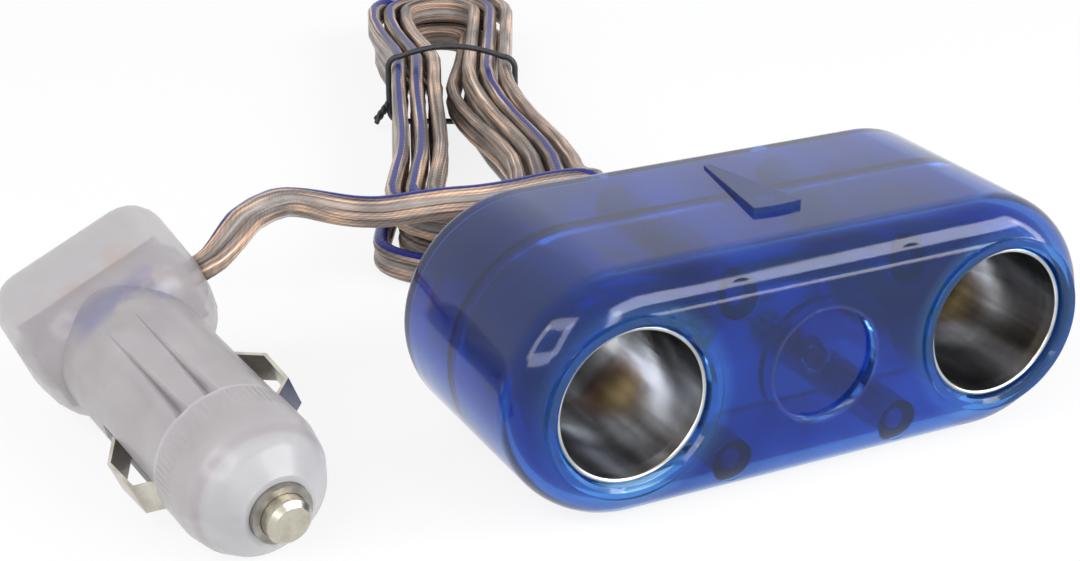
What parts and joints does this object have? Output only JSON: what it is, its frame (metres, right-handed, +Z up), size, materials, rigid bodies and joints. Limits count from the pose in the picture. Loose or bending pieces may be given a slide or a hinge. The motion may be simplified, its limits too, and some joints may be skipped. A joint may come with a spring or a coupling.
{
  "type": "car power socket splitter",
  "caption": "Twin round power sockets in a translucent housing, with a frosted plug that has sprung side contacts and a flat cord tied in a hank.",
  "frame": {"origin": "centre of the socket housing's footprint on the surface it stands on, midway between the two sockets", "axes": "+X along the housing from the left socket to the right one seen from the front, -Y out of the sockets' mouths, +Z up"},
  "size_m": [0.146, 0.2206, 0.0365],
  "materials": {
    "blue_shell": "translucent, polished",
    "nickel_sheet": "nickel plate over pressed sheet",
    "nickel_turned": "nickel plate over turned brass",
    "red_fibre": "vulcanised fibre",
    "contact_brass": "plain brass",
    "lamp_red": "red epoxy lens",
    "resistor_tan": "lacquered",
    "tinned_wire": "tinned wire",
    "screw_steel": "zinc plate",
    "grommet_rubber": "satin",
    "copper_lead": "clear cover over copper strands",
    "blue_lead": "blue cover",
    "clear_cord": "clear flexible cover over two stranded conductors",
    "tie_black": "coated wire tie",
    "frosted_plug": "frosted, slightly rough",
    "fuse_glass": "clear tube",
    "spring_steel": "bright drawn wire"
  },
  "bodies": {
    "splitter": {"front_shell": "blue_shell", "rear_shell": "blue_shell", "mount_wedge": "blue_shell", "barrel_left": "nickel_sheet", "barrel_right": "nickel_sheet", "rivet_bush_left": "red_fibre", "rivet_bush_right": "red_fibre", "rivet_washer_left": "red_fibre", "rivet_washer_right": "red_fibre", "centre_contact_left": "contact_brass", "centre_contact_right": "contact_brass", "ground_strap": "nickel_sheet", "positive_bus": "contact_brass", "lamp_led": "lamp_red", "lamp_resistor": "resistor_tan", "lamp_wire": "tinned_wire", "shell_screws": "screw_steel", "cord_grommet": "grommet_rubber", "lead_positive": "copper_lead", "lead_negative": "blue_lead", "cord_exit_run": "clear_cord", "cord_hank": "clear_cord", "cord_plug_run": "clear_cord", "hank_tie": "tie_black", "plug_shell_upper": "frosted_plug", "plug_shell_lower": "frosted_plug", "pin_spring": "spring_steel", "spring_terminal": "contact_brass", "contact_yoke": "nickel_sheet", "plug_lead_positive": "copper_lead", "plug_lead_negative": "blue_lead", "plug_screw": "screw_steel"},
    "ring": {"nose_ring": "nickel_turned"},
    "cap": {"nose_cap": "frosted_plug"},
    "pin": {"centre_pin": "nickel_turned", "fuse_glass": "fuse_glass", "fuse_caps": "nickel_turned"},
    "leaf_left": {"side_contact_left": "nickel_sheet"},
    "leaf_right": {"side_contact_right": "nickel_sheet"}
  },
  "joints": [
    {"name": "cap_travel", "type": "slide", "parent": "splitter", "child": "ring", "axis": [0.1383, -0.9839, -0.1132], "range_m": [0, 0.0045]},
    {"name": "cap_turn", "type": "hinge", "parent": "ring", "child": "cap", "pos_m": [-0.0747, -0.0131, 0.00898], "axis": [0.1383, -0.9839, -0.1132], "range_deg": [0, 1080]},
    {"name": "pin_press", "type": "slide", "parent": "ring", "child": "pin", "axis": [-0.1383, 0.9839, 0.1132], "range_m": [0, 0.002], "stiffness_N_per_m": 400, "springref_m": -0.003, "deforming": ["pin_spring"]},
    {"name": "contact_left_flex", "type": "hinge", "parent": "splitter", "child": "leaf_left", "pos_m": [-0.0863, 0.01954, 0.00973], "axis": [-0.3884, -0.159, 0.9077], "range_deg": [0, 18], "stiffness_Nm_per_rad": 0.02, "springref_deg": -5.73},
    {"name": "contact_right_flex", "type": "hinge", "parent": "splitter", "child": "leaf_right", "pos_m": [-0.07245, 0.02078, 0.01588], "axis": [0.3884, 0.159, -0.9077], "range_deg": [0, 18], "stiffness_Nm_per_rad": 0.02, "springref_deg": -5.73}
  ],
  "couplings": [
    {"joint": "cap_turn", "follows": "cap_travel", "rad_per_m": 4188.8}
  ]
}
